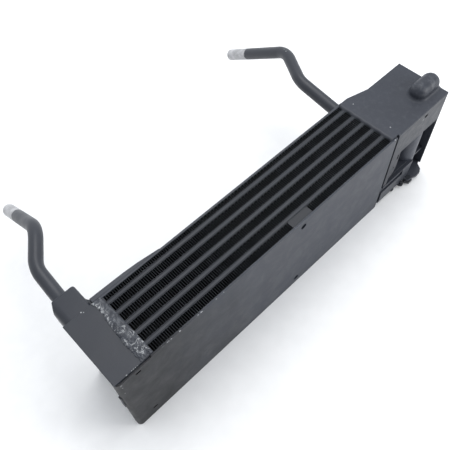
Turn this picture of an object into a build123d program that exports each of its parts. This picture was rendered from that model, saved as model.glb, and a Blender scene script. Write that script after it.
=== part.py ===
from build123d import *
import os

# Hydraulic oil cooler: a bar-and-plate aluminium core that lies with one finned air face up.
# +X runs along the core from the plain end tank to the far header, +Y to the side where both
# pipes leave, and +Z out of the upper air face. The origin is the centre of the core's bottom.
# Everything is in millimetres.

# ---- core ----
FIN_LENGTH = 402.0          # finned length along X
CORE_HEIGHT = 158.0         # air path, from the bottom air face to the top one
FULL_ROW = 10.4             # height of a full air fin row, along Y
NARROW_ROW = 6.4            # the back row is lower
PASSAGES = 5                # oil passages between the six air rows
PASSAGE = 4.2               # inside height of an oil passage
SHEET = 0.8                 # parting sheet
BAR_DEPTH = 8.0             # long bars that close each oil passage at both air faces
NEAR_BAR = 12.0             # air-side end bars beside the plain tank
FAR_BAR = 8.0               # and beside the far header
FIN_PITCH = 2.85            # from one fin wall to the next
FIN_SHEET = 0.3
TURBULATOR_PITCH = 6.0
TURBULATOR_SHEET = 0.5
SLIP = 0.05                 # clearance between neighbours that are brazed or pressed
FIT = 0.3                   # clearance between the header's welded sheets

# ---- side plates and threaded blocks ----
PLATE = 3.0
BACK_PLATE_END = 207.0
FRONT_PLATE = 2.5
FRONT_PLATE_END = 210.0
TOP_RELIEF = 2.5            # the front plate stops this much under the tank's top
BLOCK_X = 30.0              # centre of the threaded blocks in the front row
BLOCK_LENGTH = 34.0
BLOCK_DEPTH = 22.0
BLOCK_HOLE_FROM_EDGE = 13.0
THREAD_RADIUS = 3.4         # M8 tapping size
THREAD_DEPTH = 9.0
CLEARANCE_RADIUS = 4.5
SLOT_X = -225.5
SLOT_LENGTH = 7.0
SLOT_WIDTH = 3.5
SLOT_FROM_EDGE = (19.0, 9.5)  # lower and upper plug-weld slots
DOUBLER_PROFILE = [(-116.0, 0.0), (-118.0, 0.6), (-146.0, 4.0), (-165.0, 5.2), (-213.0, 6.0)]  # X, depth
DOUBLER_LOW = 2.0

# ---- plain end tank ----
TANK_LENGTH = 40.4
TANK_WALL = 3.0
TANK_LIP = 6.0              # the top sheet reaches this far past the end wall
TANK_BACK = 46.3
PLATE_RETURN = 7.0          # the front plate's end is folded in by this much
PLATE_BEND = 6.0            # outside radius of that fold
END_PAD_THICKNESS = 1.6
END_PAD_Y = (-42.0, -38.0)
END_PAD_Z = (80.0, 112.0)
BOSS_LEFT = -251.2
BOSS_RIGHT = -215.5
BOSS_HALF_HEIGHT = 18.0
BOSS_CORNER = 10.0          # rounding of its long edges on the tank's end side
BOSS_INNER_CORNER = 4.0     # and on the core's side
BOSS_TAPER = (6.5, 11.0)    # the corner cut off next to the pipe, along X and Y
BOSS_END = 80.3
BOSS_Z = 139.5
BOSS_X = -234.2             # the pipe's axis
WEB_REACH = 8.0             # size of the web between the boss and the core's side
BEAD = 1.2                  # height of the weld over the core's end

# ---- pipes ----
PIPE_RADIUS = 9.0
PIPE_BORE = 7.0
BEND_RADIUS = 42.0
SOCKET = 12.0
PIPE_WELD = 3.2
FAR_WELD_ROOT = 6.0         # how far the far weld follows the sloped wall
NEAR_ROUTE = [(BOSS_X, BOSS_END - SOCKET, BOSS_Z), (BOSS_X, 92.0, BOSS_Z),
              (-232.6, 135.5, 146.0), (-201.1, 183.6, 145.2), (-201.9, 288.7, 74.9)]
FAR_ROUTE = [(219.6, 38.0, 124.5), (219.6, 62.0, 124.5), (220.4, 130.3, 134.2),
             (253.3, 187.6, 133.5), (250.6, 308.0, 58.6)]
ENTRY_BEND = 90.0           # radius of the slight bend where a pipe leaves its socket

# ---- far header ----
HOOD_SHEET = 2.5
HOOD_START = 201.3
HEADER_START = 213.0
HEADER_END = 322.0
HEADER_FRONT = -46.7
HEADER_BACK = 35.8
HEADER_FLOOR = 8.0          # underside of the foot plate
FOOT_PLATE = 4.0
SHOULDER_X = (217.0, 251.0)   # the back edge steps in between these two
SHOULDER_Y = 44.8
BAND_LOW = 111.0            # lower edge of the band above the window
STRIP_WIDE = 233.5
STRIP_NARROW = 222.5
STRIP_LOW = 49.0
BLISTER_RADIUS = 13.0
BLISTER_X = (290.0, 314.0)
BLISTER_Y = -19.2
BLISTER_RISE = 8.0
BLISTER_FLARE = 5.0
TANK_INNER = 234.0          # outer face of the header tank's inner wall
TANK_FRONT = -41.4
TANK_START = 209.3
STRIP_JOG = ((80.0, 0.0), (68.0, 3.0))   # heights where the strip starts to narrow, and by how much
STRIP_JOG_END = 62.0
STRIP_SLOT = ((228.0, 230.6), (98.0, 108.0))
STRIP_HOLE = (227.0, 82.0)
STRIP_HOLE_RADIUS = 1.6
BAND_SLOT = ((271.5, 278.5), (147.6, 152.4))
PARTITION_Y = (-24.0, -22.0)
SHELF_TOP = 45.0
SHELF = 3.0
RAIL_FACE_TOP = 31.0        # top of the rail's face where its web is set back
RAIL_RECESS_END = 266.0
RAIL_END = (288.0, 284.5)   # the face's slanted end, at its top and at its foot

# ---- bypass valve ----
VALVE_X = 290.0
VALVE_Y = -26.7
HOUSING_RADIUS = 17.0
HOUSING_BORE = 13.0
HOUSING_TOP = 157.5
HOUSING_ROOF = 6.0
SEAT_Z = (126.0, 130.0)
SEAT_BORE = 8.0
SEAT_CHAMFER = 1.0
NOSE_CHAMFER = 1.5
NOSE_HEIGHT = 3.0
NOSE_GAP = 0.4
HEAD_RADIUS = 11.0
HEAD_THICK = 5.0
STEM_RADIUS = 4.0
STEM_LENGTH = 51.0
POST_TOP = 84.0
POST_RADIUS = 8.0
GUIDE_FLOOR = 40.0          # bottom of the stem's guide bore
GUIDE_GAP = 0.06
SPRING_RADIUS = 9.0
SPRING_WIRE = 0.9
SPRING_TURNS = 7
PLUG_SHANK_TOP = 30.0
PLUG_FLATS = 27.0
PLUG_LOW = 0.4
WASHER = 1.5
WASHER_RADIUS = 16.0
TRANSFER_RADIUS = 5.0
TRANSFER_BORE = 3.8
TRANSFER_PLACES = [(-31.7, 138.0), (-16.7, 116.0)]   # (Y, Z) of the inlet and the outlet tube

# ---- foot fasteners ----
SCREWS = [(250.0, -43.6), (268.0, -48.2)]
SCREW_HEAD = (4.4, 3.8)     # radius and height
SCREW_RADIUS = 2.0
SCREW_ROUNDING = 1.2
EAR_BOLT = (283.0, -50.3)
EAR_BOLT_FLATS = 13.0
EAR_BOLT_HEAD = 5.3
EAR_BOLT_RADIUS = 4.0
BOLT_CLEARANCE = 0.1        # around the screws' shanks, and around the plug's
EAR_EDGE = [(277.0, -47.2), (278.0, -54.6), (289.0, -56.0), (294.0, -57.9), (303.0, -57.9), (310.0, -54.2),
            (314.5, -47.0)]
EAR_CORNER = 3.0

# ---- worked-out values ----
CORE_WIDTH = (6 - 1) * FULL_ROW + NARROW_ROW + PASSAGES * (PASSAGE + 2 * SHEET)
FRONT = -CORE_WIDTH / 2
BACK = CORE_WIDTH / 2
FIN_X = FIN_LENGTH / 2
CORE_NEAR = -FIN_X - NEAR_BAR
CORE_FAR = FIN_X + FAR_BAR
TANK_END = CORE_NEAR - TANK_LENGTH
HOOD_TOP = CORE_HEIGHT + HOOD_SHEET
FOOT_TOP = HEADER_FLOOR + FOOT_PLATE


def block(x, y, z):
    """A box from three (low, high) pairs."""
    size = Box(x[1] - x[0], y[1] - y[0], z[1] - z[0], align=(Align.MIN,) * 3)
    return Pos(x[0], y[0], z[0]) * size


def upright(points, z):
    """A plan outline in X and Y, extruded from z[0] up to z[1]."""
    face = make_face(Polyline(*points, close=True))
    return Pos(0, 0, z[0]) * extrude(face, z[1] - z[0])


def facing(points, y):
    """An outline in X and Z, extruded from y[0] back to y[1]."""
    face = make_face(Polyline(*[(px, y[0], pz) for px, pz in points], close=True))
    return extrude(face, y[1] - y[0], dir=(0, 1, 0))


def lengthwise(points, x):
    """A section in Y and Z, extruded from x[0] to x[1]."""
    face = make_face(Polyline(*[(x[0], py, pz) for py, pz in points], close=True))
    return extrude(face, x[1] - x[0], dir=(1, 0, 0))


def post(centre, radius, z):
    """An upright cylinder at a plan position."""
    foot = Pos(centre[0], centre[1], z[0])
    return foot * Cylinder(radius, z[1] - z[0], align=(Align.CENTER, Align.CENTER, Align.MIN))


def hexagon(centre, flats, z):
    """An upright hexagonal prism, measured across its flats."""
    face = RegularPolygon(flats / 2, 6, major_radius=False)
    return Pos(centre[0], centre[1], z[0]) * extrude(face, z[1] - z[0])


def pin_along(start, direction, radius, length):
    """A cylinder that starts at a point and runs along a direction."""
    plane = Plane(origin=start, z_dir=direction)
    return plane * Cylinder(radius, length, align=(Align.CENTER, Align.CENTER, Align.MIN))


def row_span(row):
    """The Y range of an air row, row 6 at the front and row 1 at the back."""
    step = FULL_ROW + PASSAGE + 2 * SHEET
    low = FRONT + (6 - row) * step
    return low, low + (NARROW_ROW if row == 1 else FULL_ROW)


def passage_span(number):
    """The Y range inside an oil passage; passage n lies in front of air row n."""
    low = row_span(number + 1)[1] + SHEET
    return low, low + PASSAGE


def corrugated(start, end, low, high, pitch, sheet):
    """The outline of a sheet folded into a square wave that runs from start to end."""
    walls = 2 * round((end - start) / pitch / 2)
    step = (end - start - sheet) / (walls - 1)
    upper, lower = [(start, low)], []
    for i in range(0, walls, 2):
        left = start + i * step
        right = left + step
        upper += [(left, high), (right + sheet, high)]
        lower += [(left + sheet, low), (left + sheet, high - sheet)]
        lower += [(right, high - sheet), (right, low)]
        if i < walls - 2:
            upper += [(right + sheet, low + sheet), (right + step, low + sheet)]
    return upper + [(end, low)] + lower[::-1]


# ---- core ----

def parting_sheets(number):
    """The two sheets on either side of an oil passage."""
    low, high = passage_span(number)
    x = (CORE_NEAR, CORE_FAR)
    z = (0, CORE_HEIGHT)
    return block(x, (low - SHEET + SLIP, low), z) + block(x, (high, high + SHEET - SLIP), z)


def passage_bars(number):
    """The long bars that close an oil passage at the bottom and the top air face."""
    low, high = passage_span(number)
    x = (CORE_NEAR, CORE_FAR)
    y = (low + SLIP, high - SLIP)
    return block(x, y, (0, BAR_DEPTH)) + block(x, y, (CORE_HEIGHT - BAR_DEPTH, CORE_HEIGHT))


def turbulator(number):
    """A folded sheet inside an oil passage, its channels along X."""
    low, high = passage_span(number)
    z = (BAR_DEPTH + 1, CORE_HEIGHT - BAR_DEPTH - 1)
    outline = corrugated(z[0], z[1], low + SLIP, high - SLIP, TURBULATOR_PITCH, TURBULATOR_SHEET)
    return lengthwise([(py, pz) for pz, py in outline], (CORE_NEAR + 2, CORE_FAR - 2))


def air_fins(row, x, z):
    """Folded air fins of one row, between two X positions."""
    low, high = row_span(row)
    outline = corrugated(x[0], x[1], low + SLIP, high - SLIP, FIN_PITCH, FIN_SHEET)
    return upright(outline, z)


def end_bars(x):
    """The bars that close the air rows at one end of the core, one for each row."""
    bars = []
    for row in range(1, 7):
        low, high = row_span(row)
        bars.append(block(x, (low + SLIP, high - SLIP), (0, CORE_HEIGHT)))
    return Compound(children=bars)


# ---- side plates and threaded blocks ----

def slot_cut(x, z):
    """A short slot through the front plate."""
    half = (SLOT_LENGTH - SLOT_WIDTH) / 2
    radius = SLOT_WIDTH / 2
    y = (FRONT - FRONT_PLATE - 1, FRONT + 1)
    slot = block((x - half, x + half), y, (z - radius, z + radius))
    for end in (x - half, x + half):
        slot += pin_along((end, y[0], z), (0, 1, 0), radius, y[1] - y[0])
    return slot


def block_hole_heights():
    """Heights of the two threaded holes."""
    return BLOCK_HOLE_FROM_EDGE, CORE_HEIGHT - BLOCK_HOLE_FROM_EDGE


def front_side_plate():
    """The long plate over the front of the core and of the end tank, its end folded in."""
    y = (FRONT - FRONT_PLATE, FRONT - SLIP)
    plate = block((TANK_END, FRONT_PLATE_END), y, (0, CORE_HEIGHT))
    plate += block((TANK_END, TANK_END + FRONT_PLATE), (y[0], FRONT + PLATE_RETURN), (0, CORE_HEIGHT))
    uprights = plate.edges().filter_by(Axis.Z)
    plate = fillet(uprights.group_by(Axis.X)[0].sort_by(Axis.Y)[0], PLATE_BEND)
    under_top = (CORE_HEIGHT - TANK_WALL - SLIP, CORE_HEIGHT + 1)
    plate -= block((TANK_END - 1, TANK_END + PLATE_BEND), (y[1], FRONT + PLATE_RETURN + 1), under_top)
    relief = (CORE_HEIGHT - TOP_RELIEF, CORE_HEIGHT + 1)
    plate -= block((TANK_END - 1, -FIN_X - 5), (y[0] - 1, y[1] + 1), relief)
    plate -= slot_cut(SLOT_X, SLOT_FROM_EDGE[0])
    plate -= slot_cut(SLOT_X, CORE_HEIGHT - SLOT_FROM_EDGE[1])
    for z in block_hole_heights():
        plate -= pin_along((BLOCK_X, y[0] - 1, z), (0, 1, 0), CLEARANCE_RADIUS, FRONT_PLATE + 2)
    return plate


def back_side_plate():
    """The plate over the back of the core."""
    return block((CORE_NEAR, BACK_PLATE_END), (BACK + SLIP, BACK + PLATE), (0, CORE_HEIGHT))


def back_doubler():
    """A tapered stiffener on the back plate, next to the end tank."""
    y = BACK + PLATE + SLIP
    outline = [(CORE_NEAR, y)] + [(x, y + depth) for x, depth in DOUBLER_PROFILE]
    return upright(outline, (DOUBLER_LOW, CORE_HEIGHT))


def threaded_block(top):
    """A solid block in the front row with an M8 hole that opens through the front plate."""
    x = (BLOCK_X - BLOCK_LENGTH / 2, BLOCK_X + BLOCK_LENGTH / 2)
    y = (FRONT + SLIP, FRONT + FULL_ROW - SLIP)
    z = (CORE_HEIGHT - BLOCK_DEPTH, CORE_HEIGHT) if top else (0, BLOCK_DEPTH)
    hole_z = block_hole_heights()[1 if top else 0]
    return block(x, y, z) - pin_along((BLOCK_X, y[0], hole_z), (0, 1, 0), THREAD_RADIUS, THREAD_DEPTH)


# ---- plain end tank ----

def tank_shell():
    """The top, end and bottom of the plain tank, open towards the core; its top reaches past the end."""
    x = (TANK_END, CORE_NEAR - SLIP)
    y = (FRONT, TANK_BACK)
    wall = (x[0] + TANK_LIP, x[0] + TANK_LIP + TANK_WALL)
    inside = (TANK_WALL, CORE_HEIGHT - TANK_WALL)
    shell = block(x, y, (0, CORE_HEIGHT)) - block((wall[1], x[1] + 1), (y[0] - 1, y[1] + 1), inside)
    return shell - block((x[0] - 1, wall[0]), (y[0] - 1, y[1] + 1), (-1, inside[1]))


def tank_cap(y):
    """An end cap that closes the tank shell at the front or the back."""
    x = (TANK_END + TANK_LIP + TANK_WALL + SLIP, CORE_NEAR - SLIP)
    return block(x, y, (TANK_WALL + SLIP, CORE_HEIGHT - TANK_WALL - SLIP))


def tank_back_cap():
    """The back cap, with the oil hole into the port boss."""
    cap = tank_cap((TANK_BACK - TANK_WALL, TANK_BACK - SLIP))
    start = (BOSS_X, TANK_BACK - TANK_WALL - 1, BOSS_Z)
    return cap - pin_along(start, (0, 1, 0), PIPE_BORE, TANK_WALL + 2)


def port_boss():
    """The block on the tank's back face that the near pipe is brazed into, with its side web."""
    z = (BOSS_Z - BOSS_HALF_HEIGHT, BOSS_Z + BOSS_HALF_HEIGHT)
    cut_x, cut_y = BOSS_TAPER
    plan = [(BOSS_LEFT, TANK_BACK), (BOSS_RIGHT, TANK_BACK), (BOSS_RIGHT, BOSS_END),
            (BOSS_LEFT + cut_x, BOSS_END), (BOSS_LEFT, BOSS_END - cut_y)]
    body = upright(plan, z)
    lengthways = body.edges().filter_by(Axis.Y)
    body = fillet(lengthways.group_by(Axis.X)[0], BOSS_CORNER)
    body = fillet(body.edges().filter_by(Axis.Y).group_by(Axis.X)[-1], BOSS_INNER_CORNER)
    body += side_web(z)
    body -= pin_along((BOSS_X, TANK_BACK - 1, BOSS_Z), (0, 1, 0), PIPE_BORE, BOSS_END)
    socket = (BOSS_X, BOSS_END - SOCKET, BOSS_Z)
    return body - pin_along(socket, (0, 1, 0), PIPE_RADIUS + SLIP, SOCKET + 1)


def side_web(z):
    """The hollow-cheeked web that runs from the boss to the core's side."""
    side = CORE_NEAR - SLIP
    back = BACK + PLATE + DOUBLER_PROFILE[-1][1] + 2 * SLIP
    tip = (side + WEB_REACH - 3, back)
    top = (BOSS_RIGHT, back + WEB_REACH)
    cheek = ((tip[0] + BOSS_RIGHT) / 2 - 1.0, back + 1.6)
    sides = [Line((BOSS_RIGHT - 1, TANK_BACK), (side, TANK_BACK)), Line((side, TANK_BACK), (side, back)),
             Line((side, back), tip), ThreePointArc(tip, cheek, top), Line(top, (BOSS_RIGHT - 1, top[1])),
             Line((BOSS_RIGHT - 1, top[1]), (BOSS_RIGHT - 1, TANK_BACK))]
    height = z[1] - z[0] - 2 * BOSS_INNER_CORNER
    return Pos(0, 0, z[0] + BOSS_INNER_CORNER) * extrude(make_face(sides), height)


def end_pad():
    """A small flat pad on the folded end of the front plate."""
    return block((TANK_END - END_PAD_THICKNESS, TANK_END - SLIP), END_PAD_Y, END_PAD_Z)


def core_weld():
    """The weld bead over the end bars, between the tank's top and the fins."""
    z = (CORE_HEIGHT, CORE_HEIGHT + BEAD)
    bead = block((CORE_NEAR - 1.0, -FIN_X - 0.5), (FRONT + 0.5, BACK - 0.5), z)
    return chamfer(bead.faces().sort_by(Axis.Z)[-1].edges(), BEAD * 0.6)


# ---- pipes ----

def route(points):
    """The centre line of a bent pipe: straight runs joined by arcs."""
    return FilletPolyline(*points, radius=[ENTRY_BEND, BEND_RADIUS, BEND_RADIUS])


def pipe(points):
    """A bent steel pipe with an open end."""
    line = route(points)
    start = Plane(origin=line @ 0, z_dir=line % 0)
    solid = sweep(start * Circle(PIPE_RADIUS), path=line)
    return solid - sweep(start * Circle(PIPE_BORE), path=line)


def pipe_weld(x, y, z, root):
    """The fillet weld around a pipe where it enters its socket: a ring that narrows along Y."""
    inner = PIPE_RADIUS + SLIP
    outer = inner + PIPE_WELD
    corners = [(inner, -root), (outer, -root), (outer, 0), (inner, PIPE_WELD)]
    return Pos(x, y, z) * revolve(make_face(Polyline(*corners, close=True)), Axis.Y, 360)


def far_pipe_weld():
    """The weld around the far pipe, which follows the slope of the header tank's back wall."""
    x, _, z = FAR_ROUTE[0]
    ring = pipe_weld(x, SHOULDER_Y + SLIP, z, FAR_WELD_ROOT)
    ring -= block((FIN_X, TANK_START), (BACK - FAR_WELD_ROOT, SHOULDER_Y + SLIP), (0, CORE_HEIGHT))
    return ring - upright(header_tank_outline(), (0, CORE_HEIGHT))


# ---- far header ----

def header_outline(inset, start):
    """Plan outline of the header from a start X to its end, its walls moved in by an inset."""
    end = HEADER_END - inset
    back = HEADER_BACK - inset
    shoulder = SHOULDER_Y - inset
    front = HEADER_FRONT + inset
    outline = [(start, front), (end, front), (end, back), (SHOULDER_X[1], back)]
    if start < SHOULDER_X[0]:
        outline.append((SHOULDER_X[0], shoulder))
        outline.append((start, shoulder))
    else:
        share = (start - SHOULDER_X[0]) / (SHOULDER_X[1] - SHOULDER_X[0])
        outline.append((start, shoulder + share * (back - shoulder)))
    return outline


def blister(radius, flare):
    """A long rounded bulge on the hood, flared where it meets the sheet."""
    low = HOOD_TOP - 1
    base = HOOD_TOP + flare
    centre = CORE_HEIGHT + BLISTER_RISE
    turn = flare * (1 - 0.5 ** 0.5)
    knee = radius * 0.5 ** 0.5
    foot = radius + flare
    side = [Line((0, low), (foot, low)), Line((foot, low), (foot, HOOD_TOP)),
            ThreePointArc((foot, HOOD_TOP), (radius + turn, HOOD_TOP + turn), (radius, base)),
            Line((radius, base), (radius, centre)),
            ThreePointArc((radius, centre), (knee, centre + knee), (0, centre + radius)),
            Line((0, centre + radius), (0, low))]
    half = Plane.XZ * make_face(side)
    ends = (revolve(Rot(0, 0, turned) * half, Axis.Z, 180) for turned in (90, -90))
    nose, tail = (Pos(x, BLISTER_Y, 0) * end for x, end in zip(BLISTER_X, ends))
    section = Plane.YZ * make_face(side)
    section += mirror(section, Plane.XZ)
    length = BLISTER_X[1] - BLISTER_X[0]
    middle = Pos(BLISTER_X[0], BLISTER_Y, 0) * extrude(section, length, dir=(1, 0, 0))
    return nose + middle + tail


def blister_hollow():
    """The space inside the blister, closed by the header's end."""
    radius = BLISTER_RADIUS - HOOD_SHEET
    length = HEADER_END - HOOD_SHEET - radius - BLISTER_X[0]
    height = CORE_HEIGHT + BLISTER_RISE + radius - HOUSING_TOP
    slot = extrude(SlotCenterToCenter(length, 2 * radius), height)
    slot = fillet(slot.faces().sort_by(Axis.Z)[-1].edges(), radius * 0.9)
    return Pos(BLISTER_X[0] + length / 2, BLISTER_Y, HOUSING_TOP) * slot


def hood():
    """The pressed hood: top sheet with its blister, and the front flange around the window."""
    top = [(HOOD_START, FRONT), (HEADER_START, FRONT)] + header_outline(0, HEADER_START)[:-1]
    top.append((HOOD_START, SHOULDER_Y))
    sheet = upright(top, (CORE_HEIGHT, HOOD_TOP))
    end = HEADER_END - HOOD_SHEET - SLIP
    flange = [(HEADER_START, CORE_HEIGHT), (end, CORE_HEIGHT), (end, BAND_LOW), (STRIP_WIDE, BAND_LOW)]
    flange += [(STRIP_WIDE - inward, z) for z, inward in STRIP_JOG]
    flange += [(STRIP_NARROW, STRIP_JOG_END), (STRIP_NARROW - 2, STRIP_LOW), (HEADER_START, STRIP_LOW)]
    solid = sheet + facing(flange, (HEADER_FRONT, HEADER_FRONT + HOOD_SHEET))
    fold = [e for e in solid.edges().filter_by(Axis.X)
            if abs(e.center().Y - HEADER_FRONT) < 0.01 and abs(e.center().Z - HOOD_TOP) < 0.01]
    solid = fillet(fold, HOOD_SHEET * 0.8)
    bulge = blister(BLISTER_RADIUS, BLISTER_FLARE)
    bulge &= block((HEADER_START, HEADER_END), (HEADER_FRONT, HEADER_BACK), (0, CORE_HEIGHT * 2))
    solid = solid + bulge - blister_hollow()
    through = (HEADER_FRONT - 1, HEADER_FRONT + HOOD_SHEET + 1)
    solid -= block(STRIP_SLOT[0], through, STRIP_SLOT[1]) + block(BAND_SLOT[0], through, BAND_SLOT[1])
    hole = (STRIP_HOLE[0], through[0], STRIP_HOLE[1])
    return solid - pin_along(hole, (0, 1, 0), STRIP_HOLE_RADIUS, HOOD_SHEET + 2)


def header_tank_outline():
    """Outer plan outline of the header's oil tank."""
    share = (TANK_INNER - SHOULDER_X[0]) / (SHOULDER_X[1] - SHOULDER_X[0])
    back = SHOULDER_Y - FIT
    inner_back = back - share * (SHOULDER_Y - HEADER_BACK)
    return [(TANK_START, TANK_FRONT), (TANK_INNER, TANK_FRONT), (TANK_INNER, inner_back),
            (SHOULDER_X[0], back), (TANK_START, back)]


def header_tank():
    """The C-shaped wall of the header's oil tank, open towards the core."""
    wall = TANK_WALL
    z = (FOOT_TOP + SLIP, CORE_HEIGHT - SLIP)
    outer = make_face(Polyline(*header_tank_outline(), close=True))
    cavity = offset(outer, -wall, kind=Kind.INTERSECTION)
    cavity += Pos(-wall, 0) * cavity
    solid = Pos(0, 0, z[0]) * extrude(outer - cavity, z[1] - z[0])
    for y, height in TRANSFER_PLACES:
        solid -= pin_along((TANK_INNER - wall - 1, y, height), (1, 0, 0), TRANSFER_RADIUS + SLIP, wall + 2)
    start = FAR_ROUTE[0]
    return solid - pin_along(start, (0, 1, 0), PIPE_RADIUS + SLIP, 12)


def bypass_partition():
    """The plate that keeps the bypass passage's end apart from the rest of the header tank."""
    x = (TANK_START, TANK_INNER - TANK_WALL - SLIP)
    return block(x, PARTITION_Y, (FOOT_TOP + SLIP, CORE_HEIGHT - SLIP))


def end_wall():
    """The flat wall at the header's far end."""
    x = (HEADER_END - HOOD_SHEET, HEADER_END)
    wall = block(x, (HEADER_FRONT, HEADER_BACK), (FOOT_TOP + SLIP, CORE_HEIGHT - SLIP))
    edge = wall.edges().filter_by(Axis.Z).group_by(Axis.X)[-1].sort_by(Axis.Y)[0]
    return fillet(edge, HOOD_SHEET * 0.8)


def back_wall():
    """The folded wall along the header's back, from the tank to the end wall."""
    start = TANK_INNER + FIT
    outer = header_outline(0, start)
    inner = header_outline(HOOD_SHEET, start)
    end = HEADER_END - HOOD_SHEET - SLIP
    corner = [(end, HEADER_BACK), (end, HEADER_BACK - HOOD_SHEET)]
    outline = [outer[-1], outer[-2]] + corner + [inner[-2], inner[-1]]
    return upright(outline, (FOOT_TOP + SLIP, CORE_HEIGHT - SLIP))


def shelf():
    """The level plate across the window's foot, notched around the valve housing."""
    start = TANK_INNER + FIT
    back = HEADER_BACK - HOOD_SHEET - FIT
    slope_back = header_outline(HOOD_SHEET + FIT, start)[-1]
    end = HEADER_END - HOOD_SHEET - FIT
    front = TANK_FRONT + FIT
    outline = [(start, front), (end, front), (end, back), (SHOULDER_X[1], back), slope_back]
    plate = upright(outline, (SHELF_TOP - SHELF, SHELF_TOP))
    return plate - post((VALVE_X, VALVE_Y), HOUSING_RADIUS + SLIP, (SHELF_TOP - 5, SHELF_TOP + 1))


def lower_rail():
    """The joggled rail under the window: a face, a set-back web, and a flush web and top at its end."""
    outer, middle, inner = HEADER_FRONT, HEADER_FRONT + HOOD_SHEET, TANK_FRONT - SLIP
    top = SHELF_TOP
    low = FOOT_TOP + SLIP
    step = RAIL_FACE_TOP
    section = [(outer, low), (outer, step), (middle + FIT, step), (middle + FIT, top - HOOD_SHEET),
               (outer, top - HOOD_SHEET), (outer, top), (inner, top), (inner, step - HOOD_SHEET),
               (middle, step - HOOD_SHEET), (middle, low)]
    rail = lengthwise(section, (HEADER_START + 2, RAIL_RECESS_END))
    start = RAIL_RECESS_END - 1
    web = facing([(start, low), (RAIL_END[1], low), (RAIL_END[0], top), (start, top)], (outer, middle))
    level = block((start, RAIL_END[0]), (outer, inner), (top - HOOD_SHEET, top))
    level -= post((VALVE_X, VALVE_Y), HOUSING_RADIUS + SLIP, (top - HOOD_SHEET - 1, top + 1))
    return rail + web + level


def foot_outline():
    """Plan outline of the foot plate, with its ear in front of the header."""
    front = [(TANK_START, SHOULDER_Y), (TANK_START, TANK_FRONT), (HEADER_START, TANK_FRONT),
             (HEADER_START, HEADER_FRONT), (EAR_EDGE[0][0] - 30, HEADER_FRONT)]
    back = [(EAR_EDGE[-1][0] + 3, FRONT), (HEADER_END, FRONT), (HEADER_END, HEADER_BACK),
            (SHOULDER_X[1], HEADER_BACK), (SHOULDER_X[0], SHOULDER_Y)]
    return front + EAR_EDGE + back


def foot_plate():
    """The plate under the header, with its ear, the plug's hole and the fasteners' holes."""
    z = (HEADER_FLOOR, FOOT_TOP)
    plate = upright(foot_outline(), z)
    ear = [e for e in plate.edges().filter_by(Axis.Z) if e.center().Y < EAR_EDGE[1][1] + 1]
    plate = fillet(ear, EAR_CORNER)
    cut = (z[0] - 1, z[1] + 1)
    plate -= post((VALVE_X, VALVE_Y), HOUSING_BORE + 2 * BOLT_CLEARANCE, cut)
    plate -= post(EAR_BOLT, EAR_BOLT_RADIUS + BOLT_CLEARANCE, cut)
    for place in SCREWS:
        plate -= post(place, SCREW_RADIUS + BOLT_CLEARANCE, cut)
    return plate


def foot_screws():
    """Two pan-head screws that hold the foot plate to the rail, their heads underneath."""
    radius, height = SCREW_HEAD
    screws = []
    for place in SCREWS:
        head = post(place, radius, (HEADER_FLOOR - height, HEADER_FLOOR - SLIP))
        head = fillet(head.faces().sort_by(Axis.Z)[0].edges(), SCREW_ROUNDING)
        screws.append(head + post(place, SCREW_RADIUS, (HEADER_FLOOR - 1, FOOT_TOP)))
    return Compound(children=screws)


def ear_bolt():
    """The hex screw in the ear, its head underneath."""
    head = hexagon(EAR_BOLT, EAR_BOLT_FLATS, (HEADER_FLOOR - EAR_BOLT_HEAD, HEADER_FLOOR - SLIP))
    return head + post(EAR_BOLT, EAR_BOLT_RADIUS, (HEADER_FLOOR - 1, FOOT_TOP))


# ---- bypass valve ----

def valve_housing():
    """The upright housing of the bypass valve, closed at the top."""
    centre = (VALVE_X, VALVE_Y)
    bottom = FOOT_TOP + SLIP
    housing = post(centre, HOUSING_RADIUS, (bottom, HOUSING_TOP))
    housing -= post(centre, HOUSING_BORE, (bottom - 1, HOUSING_TOP - HOUSING_ROOF))
    for y, z in TRANSFER_PLACES:
        reach = VALVE_X - TANK_INNER
        housing -= pin_along((TANK_INNER, y, z), (1, 0, 0), TRANSFER_RADIUS + SLIP, reach)
    return housing


def transfer_tubes():
    """The short tubes between the header tank and the valve housing."""
    tubes = []
    start = TANK_INNER - TANK_WALL
    bore = post((VALVE_X, VALVE_Y), HOUSING_BORE + 0.5, (0, CORE_HEIGHT))
    for y, z in TRANSFER_PLACES:
        reach = VALVE_X - start
        tube = pin_along((start, y, z), (1, 0, 0), TRANSFER_RADIUS, reach)
        tube -= pin_along((start - 1, y, z), (1, 0, 0), TRANSFER_BORE, reach + 2)
        pieces = (tube - bore).solids().sort_by(Axis.X)
        tubes.append(pieces[0])
    return Compound(children=tubes)


def valve_seat():
    """The ring pressed into the housing that the poppet closes."""
    centre = (VALVE_X, VALVE_Y)
    ring = post(centre, HOUSING_BORE - SLIP, SEAT_Z)
    ring -= post(centre, SEAT_BORE, (SEAT_Z[0] - 1, SEAT_Z[1] + 1))
    lower = ring.edges().filter_by(GeomType.CIRCLE).group_by(Axis.Z)[0]
    return chamfer(lower.sort_by(SortBy.LENGTH)[0], SEAT_CHAMFER)


def valve_poppet():
    """The poppet: a nose in the seat, a flat head under it and a guided stem."""
    centre = (VALVE_X, VALVE_Y)
    top = SEAT_Z[0] - SLIP
    head = post(centre, HEAD_RADIUS, (top - HEAD_THICK, top))
    nose = post(centre, SEAT_BORE - NOSE_GAP, (top - 1, top + NOSE_HEIGHT))
    nose = chamfer(nose.faces().sort_by(Axis.Z)[-1].edges(), NOSE_CHAMFER)
    return head + nose + post(centre, STEM_RADIUS, (top - HEAD_THICK - STEM_LENGTH, top - 1))


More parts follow.
